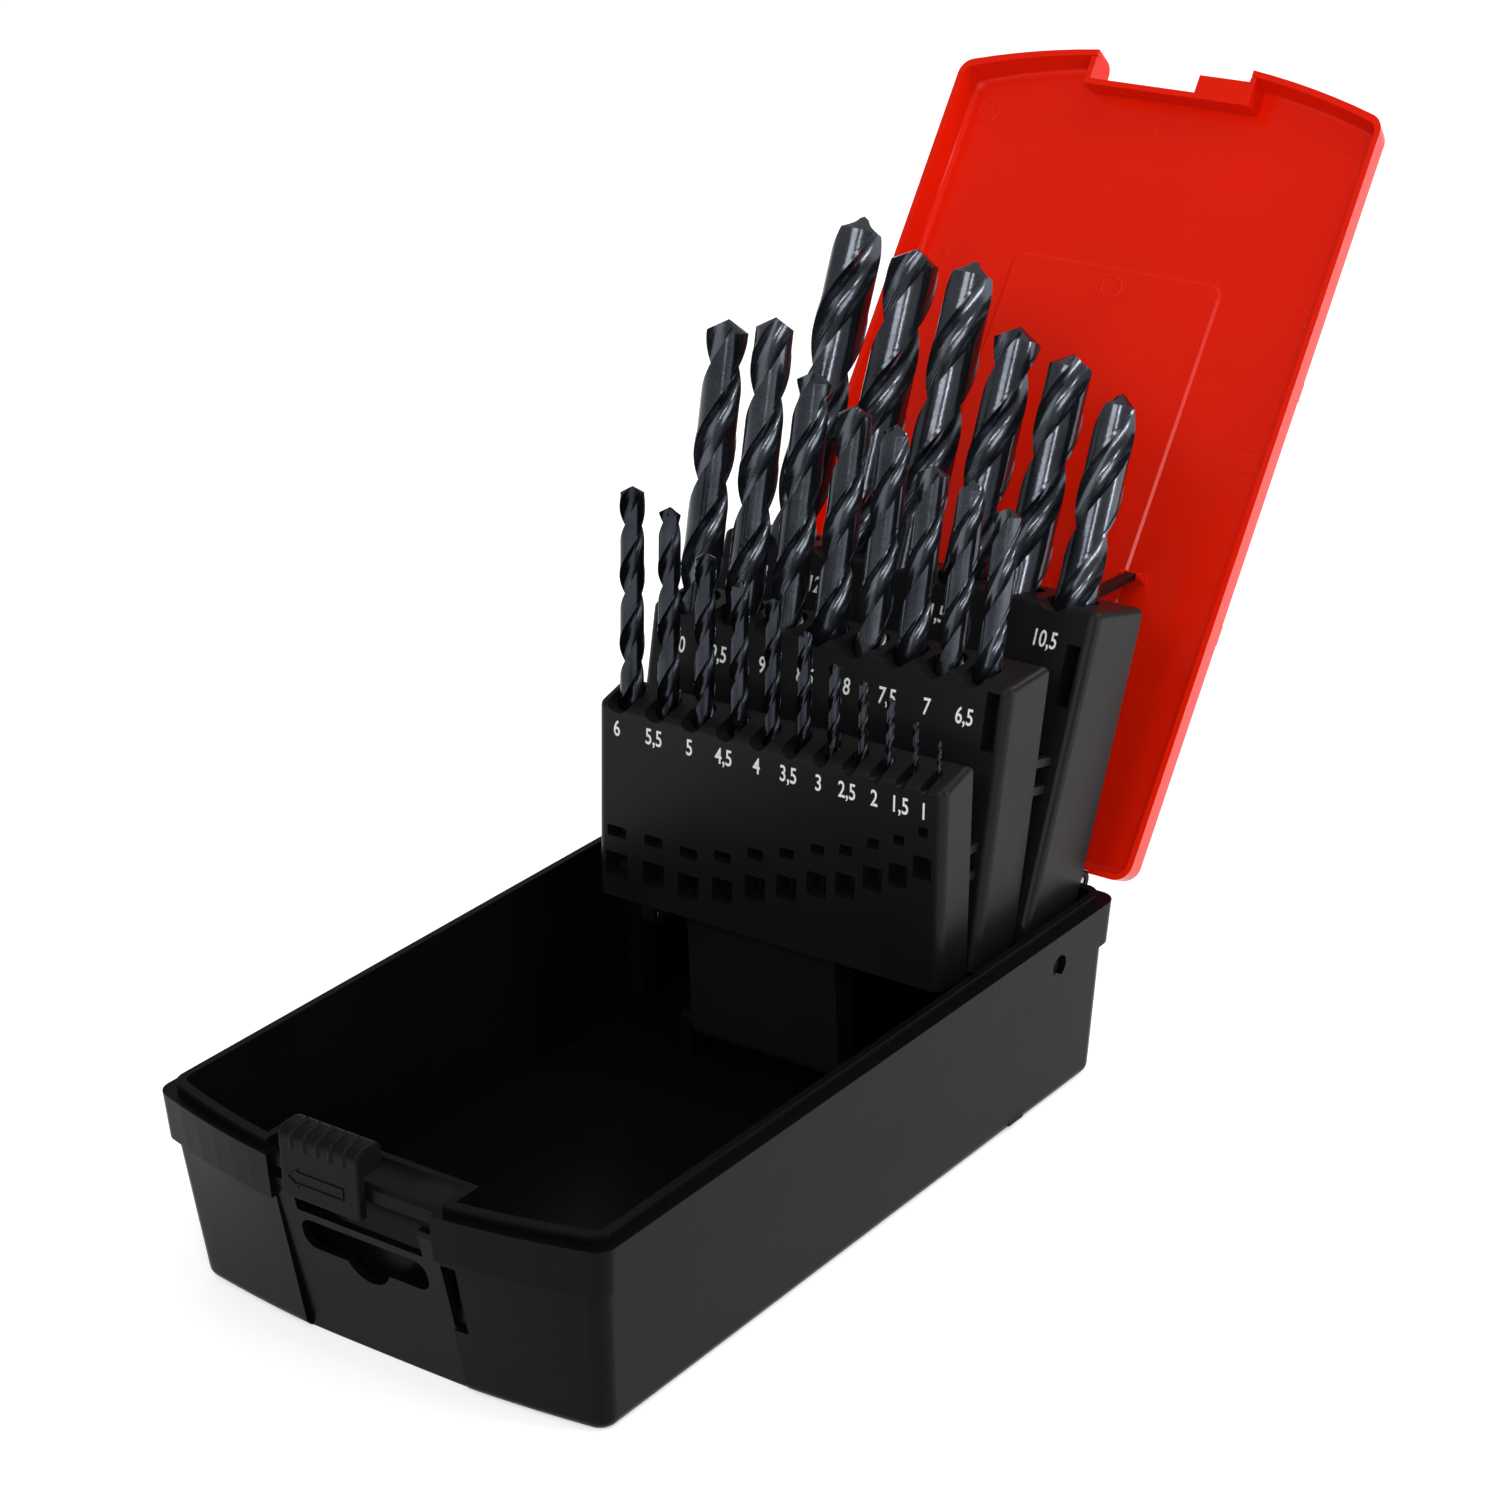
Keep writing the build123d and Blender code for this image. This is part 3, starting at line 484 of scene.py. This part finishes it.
# from the shut lid's frame to the open rest pose
openLid = (Matrix.Translation(lidHinge) @ Matrix.Rotation(-lidOpen, 4, 'X')
           @ Matrix.Translation(-lidHinge))
for count, (x, reach) in enumerate(markLook["places"]):
    mark = lidMark("lid_mark_%d" % (count + 1), x, reach, markLook, plateauLook)
    mark.data.transform(openLid)
    paint(mark, lidPlastic)
    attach(mark, "lid")
print("arrow, ribs and lid marks made")


stageLook = dict(floorColour=0.88, floorSize=40.0, floorDrop=0.0002, floorRough=0.9,
                 floorSpecular=0.1, glow=0.50, world=0.34)

bpy.ops.object.select_all(action='DESELECT')
bpy.ops.mesh.primitive_plane_add(size=stageLook["floorSize"],
                                 location=(0, 0, -stageLook["floorDrop"]))
floor = bpy.context.object
floor.name = "studioFloor"
floorMaterial, floorTree, floorShader = newMaterial("floorPaper")
floorShader.inputs["Base Color"].default_value = (*greys(stageLook["floorColour"])[0], 1)
floorShader.inputs["Roughness"].default_value = stageLook["floorRough"]
floorShader.inputs["Specular IOR Level"].default_value = stageLook["floorSpecular"]
rays = floorTree.nodes.new("ShaderNodeLightPath")  # glows where it is seen or mirrored
seen = mathNode(floorTree, 'MAXIMUM', rays.outputs["Is Camera Ray"], rays.outputs["Is Glossy Ray"])
seenToo = mathNode(floorTree, 'MAXIMUM', seen.outputs["Value"], rays.outputs["Is Transmission Ray"])
glow = mathNode(floorTree, 'MULTIPLY', seenToo.outputs["Value"])
glow.inputs[1].default_value = stageLook["glow"]
floorShader.inputs["Emission Color"].default_value = (1, 1, 1, 1)
floorTree.links.new(glow.outputs["Value"], floorShader.inputs["Emission Strength"])
paint(floor, floorMaterial)

world = bpy.data.worlds.new("studioWorld")
bpy.context.scene.world = world
world.use_nodes = True
background = world.node_tree.nodes["Background"]
background.inputs["Color"].default_value = (1, 1, 1, 1)
background.inputs["Strength"].default_value = stageLook["world"]

lamps = {  # metres and watts
    "frontSoftbox": dict(place=(0.12, -1.45, 1.15), aim=(0, 0, 0.10),
                         width=0.80, height=0.70, power=8.5),
    "rightStrip": dict(place=(1.35, 0.36, 0.50), aim=(0, 0.03, 0.10),
                       width=0.14, height=1.20, power=9),
    "topSoftbox": dict(place=(0.80, 0.55, 2.30), aim=(0.10, 0.20, 0),
                       width=2.20, height=2.20, power=18),
    "edgeGlint": dict(place=(0.787, -0.853, 1.247), aim=(0.03, 0.155, 0.11),
                      width=0.17, height=0.17, power=2.2),
    "drillStrip": dict(place=(0.95, -1.20, 0.62), aim=(0.03, 0.05, 0.17),
                       width=0.16, height=0.60, power=4.0),
    "rearBox": dict(place=(0.60, 1.15, 1.00), aim=(0.0, 0.04, 0.12),
                    width=0.40, height=0.40, power=4.0),
}
for name, look in lamps.items():
    lamp = bpy.data.lights.new(name, 'AREA')
    lamp.shape = 'RECTANGLE'
    lamp.size = look["width"]
    lamp.size_y = look["height"]
    lamp.energy = look["power"]
    holder = newObject(name, lamp)
    holder.location = look["place"]
    direction = Vector(look["aim"]) - Vector(look["place"])
    holder.rotation_euler = direction.to_track_quat('-Z', 'Y').to_euler()

cameraLook = dict(place=(0.4710, -0.5952, 0.4342), yaw=36.7208, pitch=-23.4637, roll=-1.4131,
                  lens=90.277, sensor=36, near=0.01)  # degrees, lens and sensor in millimetres


def cameraAxes(look):
    yaw, pitch, roll = (math.radians(look[key]) for key in ("yaw", "pitch", "roll"))
    forward = Vector((-math.sin(yaw) * math.cos(pitch), math.cos(yaw) * math.cos(pitch),
                      math.sin(pitch)))
    right = Vector((math.cos(yaw), math.sin(yaw), 0))
    up = right.cross(forward)
    turnedRight = right * math.cos(roll) + up * math.sin(roll)
    turnedUp = up * math.cos(roll) - right * math.sin(roll)
    return turnedRight, turnedUp, forward


lens = bpy.data.cameras.new("studioCamera")
lens.sensor_width = cameraLook["sensor"]
lens.lens = cameraLook["lens"]
lens.clip_start = cameraLook["near"]
camera = newObject("studioCamera", lens)
axisRight, axisUp, axisForward = cameraAxes(cameraLook)
camera.matrix_world = (Matrix.Translation(cameraLook["place"])
                       @ Matrix((axisRight, axisUp, -axisForward)).transposed().to_4x4())
bpy.context.scene.camera = camera
bpy.context.scene.view_settings.view_transform = 'Standard'
print("stage, light and camera set")
